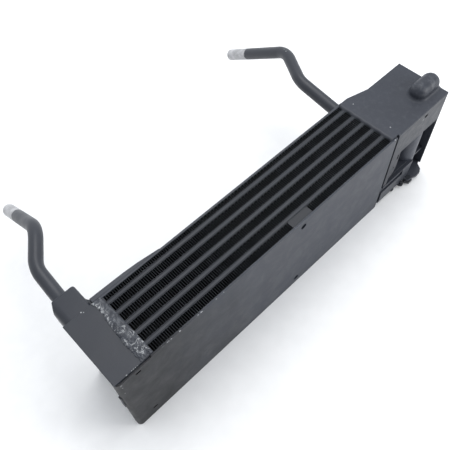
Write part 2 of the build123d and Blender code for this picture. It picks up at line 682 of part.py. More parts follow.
def valve_spring():
    """The coil spring between the plug's post and the poppet's head."""
    low = POST_TOP + SPRING_WIRE + SLIP
    high = SEAT_Z[0] - SLIP - HEAD_THICK - SPRING_WIRE - SLIP
    helix = Helix(pitch=(high - low) / SPRING_TURNS, height=high - low, radius=SPRING_RADIUS)
    start = Plane(origin=helix @ 0, z_dir=helix % 0)
    return Pos(VALVE_X, VALVE_Y, low) * sweep(start * Circle(SPRING_WIRE), path=helix, is_frenet=True)


def valve_plug():
    """The hex screw plug, with the post that guides the stem and carries the spring."""
    centre = (VALVE_X, VALVE_Y)
    hex_top = HEADER_FLOOR - WASHER - SLIP
    plug = hexagon(centre, PLUG_FLATS, (PLUG_LOW, hex_top))
    plug += post(centre, HOUSING_BORE - SLIP, (hex_top, PLUG_SHANK_TOP))
    plug += post(centre, POST_RADIUS, (PLUG_SHANK_TOP, POST_TOP))
    return plug - post(centre, STEM_RADIUS + GUIDE_GAP, (GUIDE_FLOOR, POST_TOP + 1))


def plug_washer():
    """The sealing washer under the plug's hex."""
    centre = (VALVE_X, VALVE_Y)
    z = (HEADER_FLOOR - WASHER, HEADER_FLOOR - SLIP)
    return post(centre, WASHER_RADIUS, z) - post(centre, HOUSING_BORE + BOLT_CLEARANCE, (z[0] - 1, z[1] + 1))


def parts():
    """Every node of the cooler, by name."""
    near_end, far_end = (CORE_NEAR, -FIN_X), (FIN_X, CORE_FAR)
    full = (0, CORE_HEIGHT)
    made = {}
    for number in range(1, PASSAGES + 1):
        made[f"parting_sheets_{number}"] = parting_sheets(number)
        made[f"passage_bars_{number}"] = passage_bars(number)
        made[f"air_fins_{number}"] = air_fins(number, (-FIN_X + SLIP, FIN_X - SLIP), full)
        if number < PASSAGES:
            made[f"turbulator_{number}"] = turbulator(number)
    split = (BLOCK_X - BLOCK_LENGTH / 2 - SLIP, BLOCK_X + BLOCK_LENGTH / 2 + SLIP)
    middle = (BLOCK_DEPTH + SLIP, CORE_HEIGHT - BLOCK_DEPTH - SLIP)
    made["air_fins_6_near"] = air_fins(6, (-FIN_X + SLIP, split[0]), full)
    made["air_fins_6_middle"] = air_fins(6, (split[0] + 2 * SLIP, split[1] - 2 * SLIP), middle)
    made["air_fins_6_far"] = air_fins(6, (split[1], FIN_X - SLIP), full)
    made["end_bars_near"] = end_bars(near_end)
    made["end_bars_far"] = end_bars(far_end)
    made["front_side_plate"] = front_side_plate()
    made["back_side_plate"] = back_side_plate()
    made["back_doubler"] = back_doubler()
    made["threaded_block_top"] = threaded_block(True)
    made["threaded_block_bottom"] = threaded_block(False)
    made["tank_shell"] = tank_shell()
    made["tank_front_cap"] = tank_cap((FRONT + SLIP, FRONT + TANK_WALL))
    made["tank_back_cap"] = tank_back_cap()
    made["port_boss"] = port_boss()
    made["tank_end_pad"] = end_pad()
    made["core_weld"] = core_weld()
    made["near_pipe"] = pipe(NEAR_ROUTE)
    made["near_pipe_weld"] = pipe_weld(BOSS_X, BOSS_END + SLIP + 0.5, BOSS_Z, 0.5)
    made["far_pipe"] = pipe(FAR_ROUTE)
    made["far_pipe_weld"] = far_pipe_weld()
    made["header_hood"] = hood()
    made["header_tank"] = header_tank()
    made["bypass_partition"] = bypass_partition()
    made["header_end_wall"] = end_wall()
    made["header_back_wall"] = back_wall()
    made["header_shelf"] = shelf()
    made["lower_rail"] = lower_rail()
    made["foot_plate"] = foot_plate()
    made["foot_screws"] = foot_screws()
    made["ear_bolt"] = ear_bolt()
    made["valve_housing"] = valve_housing()
    made["transfer_tubes"] = transfer_tubes()
    made["valve_seat"] = valve_seat()
    made["valve_poppet"] = valve_poppet()
    made["valve_spring"] = valve_spring()
    made["valve_plug"] = valve_plug()
    made["plug_washer"] = plug_washer()
    return made


os.makedirs("parts", exist_ok=True)
for name, shape in parts().items():
    export_step(shape, f"parts/{name}.step")
    print(name, round(shape.volume))
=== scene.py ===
import math
import random

import bmesh
import bpy
from mathutils import Matrix, Vector, noise


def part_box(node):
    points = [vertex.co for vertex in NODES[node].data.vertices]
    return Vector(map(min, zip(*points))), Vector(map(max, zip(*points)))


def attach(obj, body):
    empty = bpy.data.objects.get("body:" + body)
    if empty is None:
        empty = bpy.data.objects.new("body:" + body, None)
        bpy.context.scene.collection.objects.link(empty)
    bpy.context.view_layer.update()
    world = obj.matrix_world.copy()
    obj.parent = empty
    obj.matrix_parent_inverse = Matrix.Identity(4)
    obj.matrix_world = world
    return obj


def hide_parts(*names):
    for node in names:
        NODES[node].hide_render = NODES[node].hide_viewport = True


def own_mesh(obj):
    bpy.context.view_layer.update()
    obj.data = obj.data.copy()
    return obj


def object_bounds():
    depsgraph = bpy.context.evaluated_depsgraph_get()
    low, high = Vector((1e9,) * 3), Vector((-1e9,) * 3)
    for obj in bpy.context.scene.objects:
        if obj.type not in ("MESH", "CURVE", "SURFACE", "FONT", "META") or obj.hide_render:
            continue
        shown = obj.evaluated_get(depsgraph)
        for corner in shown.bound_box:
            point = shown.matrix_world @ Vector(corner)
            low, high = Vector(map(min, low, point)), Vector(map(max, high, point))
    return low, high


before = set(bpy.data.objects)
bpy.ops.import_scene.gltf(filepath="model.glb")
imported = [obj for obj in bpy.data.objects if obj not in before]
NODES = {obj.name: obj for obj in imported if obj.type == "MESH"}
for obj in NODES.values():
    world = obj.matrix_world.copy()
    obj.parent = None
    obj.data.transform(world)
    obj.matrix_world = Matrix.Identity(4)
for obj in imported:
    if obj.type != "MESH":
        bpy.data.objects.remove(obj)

MM = 0.001
BODY = "cooler"
CAD_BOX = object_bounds()
SCENE = bpy.context.scene


# ---------------------------------------------------------------- node tree helpers

class Tree:
    """A material's node tree, with short calls for the nodes used here."""

    def __init__(self, name):
        self.mat = bpy.data.materials.new(name)
        self.mat.use_nodes = True
        self.nt = self.mat.node_tree
        self.nt.nodes.clear()
        self.out = self.add("ShaderNodeOutputMaterial")
        self.bsdf = self.add("ShaderNodeBsdfPrincipled")
        self.link(self.bsdf.outputs["BSDF"], self.out.inputs["Surface"])
        self.place = self.add("ShaderNodeTexCoord").outputs["Object"]

    def add(self, kind, **values):
        node = self.nt.nodes.new(kind)
        for key, value in values.items():
            setattr(node, key, value)
        return node

    def link(self, a, b):
        self.nt.links.new(a, b)

    def put(self, socket, value):
        if isinstance(value, bpy.types.NodeSocket):
            self.link(value, socket)
        else:
            socket.default_value = value

    def noise(self, scale, detail=3.0, rough=0.5, distortion=0.0, at=None):
        node = self.add("ShaderNodeTexNoise")
        node.inputs["Scale"].default_value = scale
        node.inputs["Detail"].default_value = detail
        node.inputs["Roughness"].default_value = rough
        node.inputs["Distortion"].default_value = distortion
        self.link(at or self.place, node.inputs["Vector"])
        return node.outputs["Fac"]

    def cells(self, scale):
        node = self.add("ShaderNodeTexVoronoi", feature="F1")
        node.inputs["Scale"].default_value = scale
        self.link(self.place, node.inputs["Vector"])
        return node.outputs["Distance"]

    def ramp(self, value, low, high, out_low=0.0, out_high=1.0):
        node = self.add("ShaderNodeMapRange", clamp=True)
        self.put(node.inputs["Value"], value)
        numbers = {"From Min": low, "From Max": high, "To Min": out_low, "To Max": out_high}
        for key, number in numbers.items():
            node.inputs[key].default_value = number
        return node.outputs["Result"]

    def math(self, operation, a, b=0.0):
        node = self.add("ShaderNodeMath", operation=operation)
        self.put(node.inputs[0], a)
        self.put(node.inputs[1], b)
        return node.outputs[0]

    def vector(self, operation, a, b):
        node = self.add("ShaderNodeVectorMath", operation=operation)
        self.put(node.inputs[0], a)
        self.put(node.inputs[1], b)
        return node

    def stretch(self, x, y, z):
        """Object coordinates scaled along each axis, for streaks and brush marks."""
        node = self.add("ShaderNodeMapping")
        self.link(self.place, node.inputs["Vector"])
        node.inputs["Scale"].default_value = (x, y, z)
        return node.outputs["Vector"]

    def mix(self, factor, a, b):
        node = self.add("ShaderNodeMix", data_type="RGBA")
        self.put(node.inputs[0], factor)
        for socket, value in ((node.inputs[6], a), (node.inputs[7], b)):
            self.put(socket, value if isinstance(value, bpy.types.NodeSocket) else (*value, 1.0))
        return node.outputs[2]

    def bump(self, height, strength, distance, normal=None):
        node = self.add("ShaderNodeBump")
        node.inputs["Strength"].default_value = strength
        node.inputs["Distance"].default_value = distance
        self.link(height, node.inputs["Height"])
        if normal is not None:
            self.link(normal, node.inputs["Normal"])
        return node.outputs["Normal"]

    def axis(self, name):
        """One object coordinate, X, Y or Z."""
        parts = self.add("ShaderNodeSeparateXYZ")
        self.link(self.place, parts.inputs[0])
        return parts.outputs[name]

    def edge_mask(self, radius):
        """1 on sharp outside edges and 0 on flat surface, from the angle to a rounded normal."""
        rounded = self.add("ShaderNodeBevel", samples=4)
        rounded.inputs["Radius"].default_value = radius
        flat = self.add("ShaderNodeNewGeometry").outputs["True Normal"]
        dot = self.vector("DOT_PRODUCT", rounded.outputs["Normal"], flat).outputs["Value"]
        return self.ramp(dot, 0.995, 0.80)

    def near(self, centre, radius):
        """1 inside a spot around a point, fading over its outer third."""
        away = self.vector("DISTANCE", self.place, centre).outputs["Value"]
        return self.ramp(away, radius, radius * 0.65)

    def chips(self, places):
        """1 inside ragged chips in the paint, given as (centre, radius) pairs."""
        spots = self.most([self.near(centre, radius) for centre, radius in places])
        ragged = self.ramp(self.noise(620.0, 4.0, 0.7, 0.5), 0.36, 0.58)
        return self.ramp(self.math("MULTIPLY", spots, ragged), 0.30, 0.50)

    def most(self, values):
        """The largest of several values at each point."""
        total = values[0]
        for value in values[1:]:
            total = self.math("MAXIMUM", total, value)
        return total


# ---------------------------------------------------------------- materials

PAINT = (0.032, 0.036, 0.047)
PAINT_DARK = (0.024, 0.027, 0.036)
PAINT_DUST = (0.054, 0.060, 0.072)
PRIMER = (0.24, 0.25, 0.26)
METAL = (0.44, 0.45, 0.46)
# Near-black colour, used only for painted shade
SHADE_BLACK = (0.004, 0.004, 0.005)
EDGE_WEAR = 0.0008          # how wide paint wears off along sharp edges
SHADED_FADE = 0.002         # half the height over which painted shade begins
SHADED_DEPTH = 0.30
TIP_FADE = 0.0012           # half the width of the ring where a pipe's paint stops
TIP_WANDER = 0.0016         # and how far that ring wanders along the pipe


def sprayed(t, tone, rough, texture):
    """Colour, roughness and bump of satin dark blue-grey spray paint, with its dust and specks."""
    cloud = t.noise(9.0, 4.0, 0.6)
    rub = t.noise(42.0, 5.0, 0.65, 0.4)
    grain = t.noise(1600.0, 2.0, 0.5)
    dark, mid, dust = (tuple(c * tone for c in shade) for shade in (PAINT_DARK, PAINT, PAINT_DUST))
    colour = t.mix(t.ramp(cloud, 0.32, 0.68), dark, mid)
    colour = t.mix(t.ramp(rub, 0.50, 0.85, 0.0, 0.40), colour, dust)
    colour = t.mix(t.ramp(grain, 0.45, 0.75, 0.0, 0.12), colour, dust)
    specks = t.ramp(t.cells(240.0), 0.045, 0.030)
    specks = t.math("MULTIPLY", specks, t.ramp(t.noise(30.0, 2.0), 0.56, 0.62))
    colour = t.mix(t.math("MULTIPLY", specks, 0.45), colour, PRIMER)
    gloss = t.ramp(rub, 0.3, 0.8, rough - 0.07, rough + 0.12)
    gloss = t.math("ADD", gloss, t.ramp(cloud, 0.3, 0.7, -0.04, 0.05))
    peel = t.bump(t.noise(520.0, 3.0, 0.55), 0.20 * texture, 0.00030)
    waves = t.bump(t.noise(26.0, 2.0, 0.5), 0.22 * texture, 0.0022, peel)
    return colour, gloss, waves


def worn_through(t, colour, chips=(), wear=0.0, edge=EDGE_WEAR):
    """Primer and metal showing at chips and along worn edges."""
    masks = [t.chips(chips)] if chips else []
    if wear:
        patches = t.ramp(t.noise(130.0, 4.0, 0.7), 0.60 - 0.1 * wear, 0.70)
        masks.append(t.math("MULTIPLY", t.math("MULTIPLY", t.edge_mask(edge), patches), wear))
    if not masks:
        return colour
    return t.mix(t.most(masks), colour, t.mix(t.noise(700.0, 2.0), PRIMER, METAL))


def finish_with(t, colour, gloss, normal, shine=0.42):
    t.link(colour, t.bsdf.inputs["Base Color"])
    t.link(gloss, t.bsdf.inputs["Roughness"])
    t.link(normal, t.bsdf.inputs["Normal"])
    t.bsdf.inputs["Specular IOR Level"].default_value = shine
    return t.mat


def paint(name, tone=1.0, rough=0.42, chips=(), wear=0.35, texture=1.0, edge=EDGE_WEAR, shade_spots=(),
          shade_bands=(), shine=0.42):
    """Sprayed sheet metal, with painted shade around the given holes and in given bands along X."""
    t = Tree(name)
    colour, gloss, normal = sprayed(t, tone, rough, texture)
    # Painted shade: darker in patchy bands along X
    for start, end, depth in shade_bands:
        spread = (end - start) / 4
        patchy = t.math("ADD", t.axis("X"), t.ramp(t.noise(14.0, 3.0), 0.3, 0.7, -spread, spread))
        colour = t.mix(t.ramp(patchy, end, start, 0.0, depth), colour, SHADE_BLACK)
    colour = worn_through(t, colour, chips, wear, edge)
    # Painted shade: near black in ragged spots around the given holes
    if shade_spots:
        ragged = t.ramp(t.noise(500.0, 3.0, 0.6), 0.35, 0.55, 0.5, 1.0)
        spots = t.most([t.near(centre, radius) for centre, radius in shade_spots])
        colour = t.mix(t.math("MULTIPLY", spots, ragged), colour, SHADE_BLACK)
    return finish_with(t, colour, gloss, normal, shine)


def rough_paint(name, tone=1.0, chips=(), blotches=(), shine=0.42, shaded=None):
    """Paint over a cast or hammered surface: mottled and blotched, with painted shade below a height."""
    t = Tree(name)
    colour, gloss, normal = sprayed(t, tone, 0.46, 1.6)
    lumps = t.noise(150.0, 4.0, 0.6, 0.3)
    colour = t.mix(t.ramp(lumps, 0.50, 0.72, 0.0, 0.45), colour, PAINT_DUST)
    blots = t.noise(95.0, 3.0, 0.6, 0.5)
    for centre, radius in blotches:
        here = t.near(centre, radius)
        pale = t.math("MULTIPLY", here, t.ramp(blots, 0.50, 0.68, 0.0, 0.16))
        dull = t.math("MULTIPLY", here, t.ramp(blots, 0.50, 0.34, 0.0, 0.60))
        colour = t.mix(dull, t.mix(pale, colour, PRIMER), PAINT_DARK)
    # Painted shade: darker below the given height
    if shaded is not None:
        under = t.ramp(t.axis("Z"), shaded + SHADED_FADE, shaded - SHADED_FADE, 0.0, SHADED_DEPTH)
        colour = t.mix(under, colour, SHADE_BLACK)
    colour = worn_through(t, colour, chips, 0.3)
    return finish_with(t, colour, gloss, t.bump(lumps, 0.40, 0.0009, normal), shine)


def pipe_paint(name, tip, along, bare, chips=()):
    """A painted pipe whose end was masked off, so it stays bare grey metal back to a soft ring."""
    t = Tree(name)
    colour, gloss, normal = sprayed(t, 0.85, 0.38, 0.8)
    colour = worn_through(t, colour, chips)
    back = t.vector("SUBTRACT", t.place, tip)
    depth = t.vector("DOT_PRODUCT", back.outputs[0], along).outputs["Value"]
    ragged = t.ramp(t.noise(160.0, 4.0, 0.6), 0.3, 0.7, -TIP_WANDER, TIP_WANDER)
    mask = t.ramp(t.math("ADD", depth, ragged), -bare - TIP_FADE, -bare + TIP_FADE)
    stain = t.noise(75.0, 5.0, 0.65)
    scuff = t.noise(320.0, 3.0, 0.6)
    metal = t.mix(t.ramp(stain, 0.32, 0.70), (0.30, 0.30, 0.31), (0.56, 0.56, 0.57))
    metal = t.mix(t.ramp(scuff, 0.50, 0.75, 0.0, 0.5), metal, (0.22, 0.22, 0.23))
    colour = t.mix(mask, colour, metal)
    t.link(t.math("MULTIPLY", mask, 0.35), t.bsdf.inputs["Metallic"])
    gloss = t.math("ADD", gloss, t.math("MULTIPLY", mask, 0.06))
    return finish_with(t, colour, gloss, t.bump(scuff, 0.12, 0.0003, normal))


def weld_paint(name, glint=1.0, glint_spots=()):
    """Paint over a weld bead: pitted, with painted glints as thin bright lines and specks, and broader
    ones at given spots.
    """
    t = Tree(name)
    lumps = t.noise(120.0, 3.0, 0.5, 0.6)
    creases = t.noise(85.0, 3.0, 0.6, 1.6)
    line = t.ramp(t.math("ABSOLUTE", t.math("SUBTRACT", creases, 0.5)), 0.026, 0.010)
    patches = t.ramp(t.noise(60.0, 3.0), 0.44, 0.58)
    colour = t.mix(t.ramp(lumps, 0.35, 0.7), PAINT_DARK, PAINT_DUST)
    # Painted highlights: bright metal-coloured lines and specks
    bright = t.math("MULTIPLY", t.math("MAXIMUM", line, t.ramp(lumps, 0.70, 0.76)), patches)
    colour = t.mix(t.math("MULTIPLY", bright, 0.60 * glint), colour, METAL)
    # Broader painted highlights at the glint spots
    if glint_spots:
        broad = t.ramp(t.math("ABSOLUTE", t.math("SUBTRACT", creases, 0.5)), 0.050, 0.018)
        spots = t.most([t.near(centre, radius) for centre, radius in glint_spots])
        colour = t.mix(t.math("MULTIPLY", t.math("MULTIPLY", broad, spots), 0.52), colour, METAL)
    gloss = t.ramp(lumps, 0.3, 0.75, 0.40, 0.24)
    rough = t.bump(lumps, 0.70, 0.0010)
    return finish_with(t, colour, gloss, t.bump(t.cells(420.0), 0.10, 0.0003, rough))


def fin_paint(name):
    """Thin sheet with paint on its outer edges that fades to near black deep between the fins, as
    painted shade.
    """
    t = Tree(name)
    low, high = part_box("air_fins_1")
    centre, half = (low.z + high.z) / 2, (high.z - low.z) / 2
    from_centre = t.math("ABSOLUTE", t.math("SUBTRACT", t.axis("Z"), centre))
    dirt = t.noise(70.0, 4.0, 0.6)
    outer = t.mix(t.ramp(dirt, 0.35, 0.7), (0.020, 0.023, 0.028), (0.064, 0.070, 0.080))
    # Painted shade: near black deep inside the core, with the lighter paint at both air faces
    inner = t.mix(dirt, (0.003, 0.0032, 0.0036), (0.006, 0.0065, 0.0075))
    colour = t.mix(t.ramp(from_centre, half - 0.0013, half - 0.0001), inner, outer)
    nicks = t.math("MULTIPLY", t.ramp(t.noise(900.0, 2.0), 0.62, 0.70), t.ramp(dirt, 0.55, 0.65))
    nicks = t.math("MULTIPLY", nicks, t.ramp(from_centre, half - 0.0010, half - 0.0002))
    colour = t.mix(t.math("MULTIPLY", nicks, 0.6), colour, METAL)
    gloss = t.ramp(dirt, 0.3, 0.7, 0.45, 0.62)
    return finish_with(t, colour, gloss, t.bump(t.noise(1200.0, 2.0), 0.2, 0.0002), 0.16)


def steel(name, colour, rough=0.3, streak=(1.0, 1.0, 30.0), dirt=0.3):
    """Bare machined metal with fine tool lines, stains and oil-dark patches."""
    t = Tree(name)
    lines = t.noise(180.0, 4.0, 0.6, at=t.stretch(*streak))
    stain = t.noise(60.0, 4.0, 0.6)
    low = tuple(c * 0.72 for c in colour)
    dull = tuple(c * 0.35 for c in colour)
    tinted = t.mix(t.ramp(stain, 0.35, 0.7), low, colour)
    tinted = t.mix(t.ramp(t.noise(25.0, 5.0, 0.7), 0.55, 0.75, 0.0, dirt), tinted, dull)
    t.bsdf.inputs["Metallic"].default_value = 1.0
    gloss = t.ramp(lines, 0.3, 0.7, rough - 0.08, rough + 0.12)
    return finish_with(t, tinted, gloss, t.bump(lines, 0.18, 0.0002))


def copper_washer(name):
    """A soft copper sealing ring, dulled and slightly tarnished."""
    t = Tree(name)
    tarnish = t.noise(190.0, 4.0, 0.6)
    colour = t.mix(t.ramp(tarnish, 0.35, 0.7), (0.22, 0.10, 0.06), (0.52, 0.26, 0.17))
    t.bsdf.inputs["Metallic"].default_value = 1.0
    gloss = t.ramp(tarnish, 0.3, 0.7, 0.34, 0.52)
    return finish_with(t, colour, gloss, t.bump(tarnish, 0.2, 0.0002))


def set_material(obj, mat):
    obj.data.materials.clear()
    obj.data.materials.append(mat)


# ---------------------------------------------------------------- mesh helpers

ROLL = 2.1                  # rounding of the hood's edge over the fins and of the boss's end
ROLL_STEPS = 5
SHARP = 32                  # edges turning more than this many degrees get rounded
WELD = 1e-6                 # points closer than this are joined
FLAT = 0.4                  # and facets turning less than this many degrees are joined
ON_PLANE = 1e-5


def new_object(name, bm, mat, smooth_angle=None):
    mesh = bpy.data.meshes.new(name)
    bm.normal_update()
    bm.to_mesh(mesh)
    bm.free()
    obj = bpy.data.objects.new(name, mesh)
    SCENE.collection.objects.link(obj)
    mesh.materials.append(mat)
    if smooth_angle is not None:
        shade(obj, smooth_angle)
    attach(obj, BODY)
    return obj


def shade(obj, angle):
    """Smooth shading, with edges over an angle kept sharp."""
    mesh = obj.data
    for poly in mesh.polygons:
        poly.use_smooth = True
    bm = bmesh.new()
    bm.from_mesh(mesh)
    for edge in bm.edges:
        edge.smooth = len(edge.link_faces) == 2 and edge.calc_face_angle(0.0) < math.radians(angle)
    bm.to_mesh(mesh)
    bm.free()


def stand_in(obj, node):
    """Hide the CAD node that a piece stands for."""
    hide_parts(node)
    return obj


def softened(node, mat, width=0.5, segments=3, rolled=None):
    """A copy of a CAD node's shape with its sharp edges rounded over, more at the planes in rolled."""
    bm = bmesh.new()
    bm.from_mesh(NODES[node].data)
    bmesh.ops.remove_doubles(bm, verts=bm.verts, dist=WELD)
    bmesh.ops.dissolve_limit(bm, angle_limit=math.radians(FLAT), verts=bm.verts, edges=bm.edges)
    if rolled:
        near = [e for e in bm.edges if all(abs(v.co[axis] - place) < ON_PLANE for v in e.verts
                                           for axis, place in rolled.items())]
        bmesh.ops.bevel(bm, geom=near, offset=ROLL * MM, segments=ROLL_STEPS, profile=0.5,
                        affect="EDGES")
    obj = new_object(node + "_finish", bm, mat, SHARP)
    rounding = obj.modifiers.new("rounded_edges", "BEVEL")
    rounding.width = width * MM
    rounding.segments = segments
    rounding.limit_method = "ANGLE"
    rounding.angle_limit = math.radians(SHARP)
    rounding.harden_normals = True
    rounding.use_clamp_overlap = True
    return stand_in(obj, node)


# ---------------------------------------------------------------- shaped pieces

def between(table, at):
    """Straight-line value of a table of (place, value) pairs."""
    for (a, va), (b, vb) in zip(table, table[1:]):
        if at <= b:
            break
    share = min(max((at - a) / (b - a), 0.0), 1.0)
    return va + share * (vb - va)


def smooth_step(low, high, value):
    """0 at low and 1 at high, levelling off at both."""
    share = min(max((value - low) / (high - low), 0.0), 1.0)
    return share * share * (3 - 2 * share)


# Lanced and offset air fins
FIN_PITCH = 2.85 * MM
FIN_SHEET = 0.26 * MM
FIN_CORNER = 0.34 * MM
FIN_JITTER = 0.05           # how unevenly the folds stand, as a share of the pitch
FINE_LAYERS = 4             # short lanced strips at each air face
FINE_HEIGHT = 5.0 * MM
COARSE_LAYERS = 5           # longer strips between them, deep in the core
NEAR_BEND = 1.6 * MM        # how far the first fins beside the weld are bent over


def wave_line(x, y, offset, jitter, lean):
    """Centre line of a folded strip: a square wave with chamfered corners, as (X, Y) points."""
    low, high = y[0] + FIN_SHEET / 2, y[1] - FIN_SHEET / 2
    count = int((x[1] - x[0] - 2 * FIN_SHEET) / FIN_PITCH)
    places = []
    for i in range(count + 1):
        place = x[0] + FIN_SHEET + offset + i * FIN_PITCH + random.uniform(-jitter, jitter)
        place -= lean * math.exp(-(place - x[0]) / (3 * FIN_PITCH))
        if x[0] + FIN_SHEET / 2 < place < x[1] - FIN_SHEET / 2:
            places.append(place)
    line = []
    for i, place in enumerate(places):
        ends = (low, high) if i % 2 == 0 else (high, low)
        inward = FIN_CORNER if ends[0] < ends[1] else -FIN_CORNER
        if i > 0:
            line += [(place - FIN_CORNER, ends[0])]
        line += [(place, ends[0] + inward), (place, ends[1] - inward)]
        if i < len(places) - 1:
            line += [(place + FIN_CORNER, ends[1])]
    return line


def sheet_along(bm, line, thickness, z):
    """A thin upright strip along an (X, Y) line, as closed faces."""
    sides = []
    for i, (px, py) in enumerate(line):
        before = Vector(line[max(i - 1, 0)])
        after = Vector(line[min(i + 1, len(line) - 1)])
        here = Vector((px, py))
        one = (here - before).normalized() if i > 0 else (after - here).normalized()
        two = (after - here).normalized() if i < len(line) - 1 else one
        normal = (Vector((-one.y, one.x)) + Vector((-two.y, two.x))).normalized()
        reach = thickness / 2 / max(normal.dot(Vector((-one.y, one.x))), 0.5)
        sides.append([bm.verts.new((px + s * reach * normal.x, py + s * reach * normal.y, height))
                      for s in (1, -1) for height in z])
    for a, b in zip(sides, sides[1:]):
        bm.faces.new((a[0], b[0], b[1], a[1]))
        bm.faces.new((a[3], b[3], b[2], a[2]))
        bm.faces.new((a[1], b[1], b[3], a[3]))
        bm.faces.new((a[2], b[2], b[0], a[0]))
    for ring, order in ((sides[0], (0, 1, 3, 2)), (sides[-1], (2, 3, 1, 0))):
        bm.faces.new([ring[k] for k in order])


def fin_row(node, mat):
    """One air row: lanced strips that step half a pitch from one to the next."""
    low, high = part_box(node)
    bm = bmesh.new()
    heights = [low.z + i * FINE_HEIGHT for i in range(FINE_LAYERS)]
    step = (high.z - low.z - 2 * FINE_LAYERS * FINE_HEIGHT) / COARSE_LAYERS
    heights += [low.z + FINE_LAYERS * FINE_HEIGHT + i * step for i in range(COARSE_LAYERS)]
    heights += [high.z - i * FINE_HEIGHT for i in range(FINE_LAYERS, -1, -1)]
    for i, (bottom, top) in enumerate(zip(heights, heights[1:])):
        lean = NEAR_BEND * random.uniform(0.2, 1.0) if i >= len(heights) - 3 else 0.0
        offset = (i % 2) * FIN_PITCH / 2
        line = wave_line((low.x, high.x), (low.y, high.y), offset, FIN_PITCH * FIN_JITTER, lean)
        sheet_along(bm, line, FIN_SHEET, (bottom, top))
    return stand_in(new_object(node + "_lanced", bm, mat), node)


# Weld bead over the core's near end, from the tank's front edge to its back corner
BEAD_LEFT = [(-44.0, -217.4), (-20.0, -218.3), (16.0, -215.9), (27.0, -213.2), (40.0, -213.9),
             (46.0, -216.5)]        # its left border as (Y, X)
BEAD_RIGHT = [(-44.0, -200.9), (0.0, -201.2), (22.0, -201.6), (46.0, -202.8)]
BEAD_FRONT, BEAD_BACK = -43.5, 46.0
BEAD_STEP = 0.5             # spacing of the bead's points along Y
BEAD_ACROSS = 44            # and their number across it
BEAD_HEIGHT = 1.5
BEAD_LIFT = 0.05            # its thin rim over the core, and its foot under it
BEAD_LOBE = 0.9             # how far it draws back beside each fin row
BEAD_GLINT = 3.4            # size of the spots with painted glints on the bead, listed next as (X, Y)
BEAD_GLINTS = [(-211.5, 42.0), (-213.0, 37.0), (-212.6, 24.0), (-213.4, 20.0), (-214.6, 15.0),
               (-215.2, 10.0), (-215.8, 5.0), (-213.0, -2.0), (-210.0, -3.5), (-207.0, -1.0),
               (-216.6, -14.0), (-216.9, -18.0), (-204.5, -22.0), (-203.6, -27.0), (-205.8, -33.0),
               (-209.0, -38.0), (-204.0, -37.0)]
ROW_STEP = 16.2             # from one fin row to the next
ROW_MIDDLE = -38.5


def bead_height(x, y, share):
    """Height of the bead over the core: flat-topped, crinkled on its front half, dished behind."""
    dome = math.sqrt(max(1 - (2 * share - 1) ** 6, 0.0))
    rough = 0.20 + 0.80 * smooth_step(26.0, 4.0, y)
    swell = 0.62 + 0.38 * noise.noise(Vector((x * 0.11, y * 0.11, 3.0)))
    swell -= 0.35 * smooth_step(8.0, 26.0, y) * math.sin(math.pi * share) ** 2
    fold = 1 - 4.0 * abs(noise.noise(Vector((x * 0.21, y * 0.15, 7.0))))
    fold = max(fold, 1 - 5.0 * abs(noise.noise(Vector((x * 0.33, y * 0.27, 17.0)))) - 0.3)
    grit = noise.noise(Vector((x * 1.1, y * 1.1, 1.0)))
    return dome * (swell + rough * (0.75 * max(fold, 0.0) + 0.16 * grit)) * BEAD_HEIGHT


def core_bead():
    """The bead as a closed mesh on the core's end, scalloped beside the fin rows."""
    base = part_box("core_weld")[0].z / MM
    y0, y1 = BEAD_FRONT, BEAD_BACK
    count = int((y1 - y0) / BEAD_STEP)
    bm = bmesh.new()
    top, bottom = [], []
    for i in range(count + 1):
        y = y0 + (y1 - y0) * i / count
        wander = 1.5 * noise.noise(Vector((0.0, y * 0.22, 5.0)))
        wander += 0.35 * noise.noise(Vector((0.0, y * 1.1, 9.0)))
        lobe = 0.5 + 0.5 * math.cos(2 * math.pi * (y - ROW_MIDDLE) / ROW_STEP)
        left = between(BEAD_LEFT, y) + wander
        right = between(BEAD_RIGHT, y) - BEAD_LOBE * lobe + 0.3 * wander
        row_top, row_bottom = [], []
        for j in range(BEAD_ACROSS + 1):
            share = j / BEAD_ACROSS
            x = left + share * (right - left)
            height = bead_height(x, y, share) if 0 < i < count else 0.0
            z = base + BEAD_LIFT + max(height, 0.0)
            row_top.append(bm.verts.new((x * MM, y * MM, z * MM)))
            row_bottom.append(bm.verts.new((x * MM, y * MM, (base - BEAD_LIFT) * MM)))
        top.append(row_top)
        bottom.append(row_bottom)
    for i in range(count):
        for j in range(BEAD_ACROSS):
            bm.faces.new((top[i][j], top[i][j + 1], top[i + 1][j + 1], top[i + 1][j]))
            bm.faces.new((bottom[i][j], bottom[i + 1][j], bottom[i + 1][j + 1], bottom[i][j + 1]))
        for j, flip in ((0, True), (BEAD_ACROSS, False)):
            wall = [top[i][j], bottom[i][j], bottom[i + 1][j], top[i + 1][j]]
            bm.faces.new(wall[::-1] if flip else wall)
    for j in range(BEAD_ACROSS):
        for i, flip in ((0, False), (count, True)):
            wall = [top[i][j], bottom[i][j], bottom[i][j + 1], top[i][j + 1]]
            bm.faces.new(wall[::-1] if flip else wall)
    bmesh.ops.recalc_face_normals(bm, faces=bm.faces)
    glints = [((x * MM, y * MM, (base + BEAD_HEIGHT) * MM), BEAD_GLINT * MM) for x, y in BEAD_GLINTS]
    finish = weld_paint("core_weld_paint", glint_spots=glints)
    return stand_in(new_object("core_weld_bead", bm, finish, smooth_angle=60), "core_weld")


def coil(node, mat):
    """The valve's spring, as a copy of its CAD shape with a mesh of its own."""
    bm = bmesh.new()
    bm.from_mesh(NODES[node].data)
    bm.transform(NODES[node].matrix_world)
    obj = stand_in(new_object("valve_spring_coil", bm, mat, smooth_angle=60), node)
    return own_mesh(obj)


# Weld along the hood's edge over the fins, its section as (X, Z) from the edge's foot
EDGE_WELD = [(2.2, 2.44), (1.2, 2.58), (0.2, 2.36), (-0.9, 1.25), (-1.7, 0.02)]
EDGE_FOOT = 0.1             # how far it reaches into the core
EDGE_STEP = 0.6
EDGE_LOBE = 0.9             # how much further it runs over the bars than over the fins


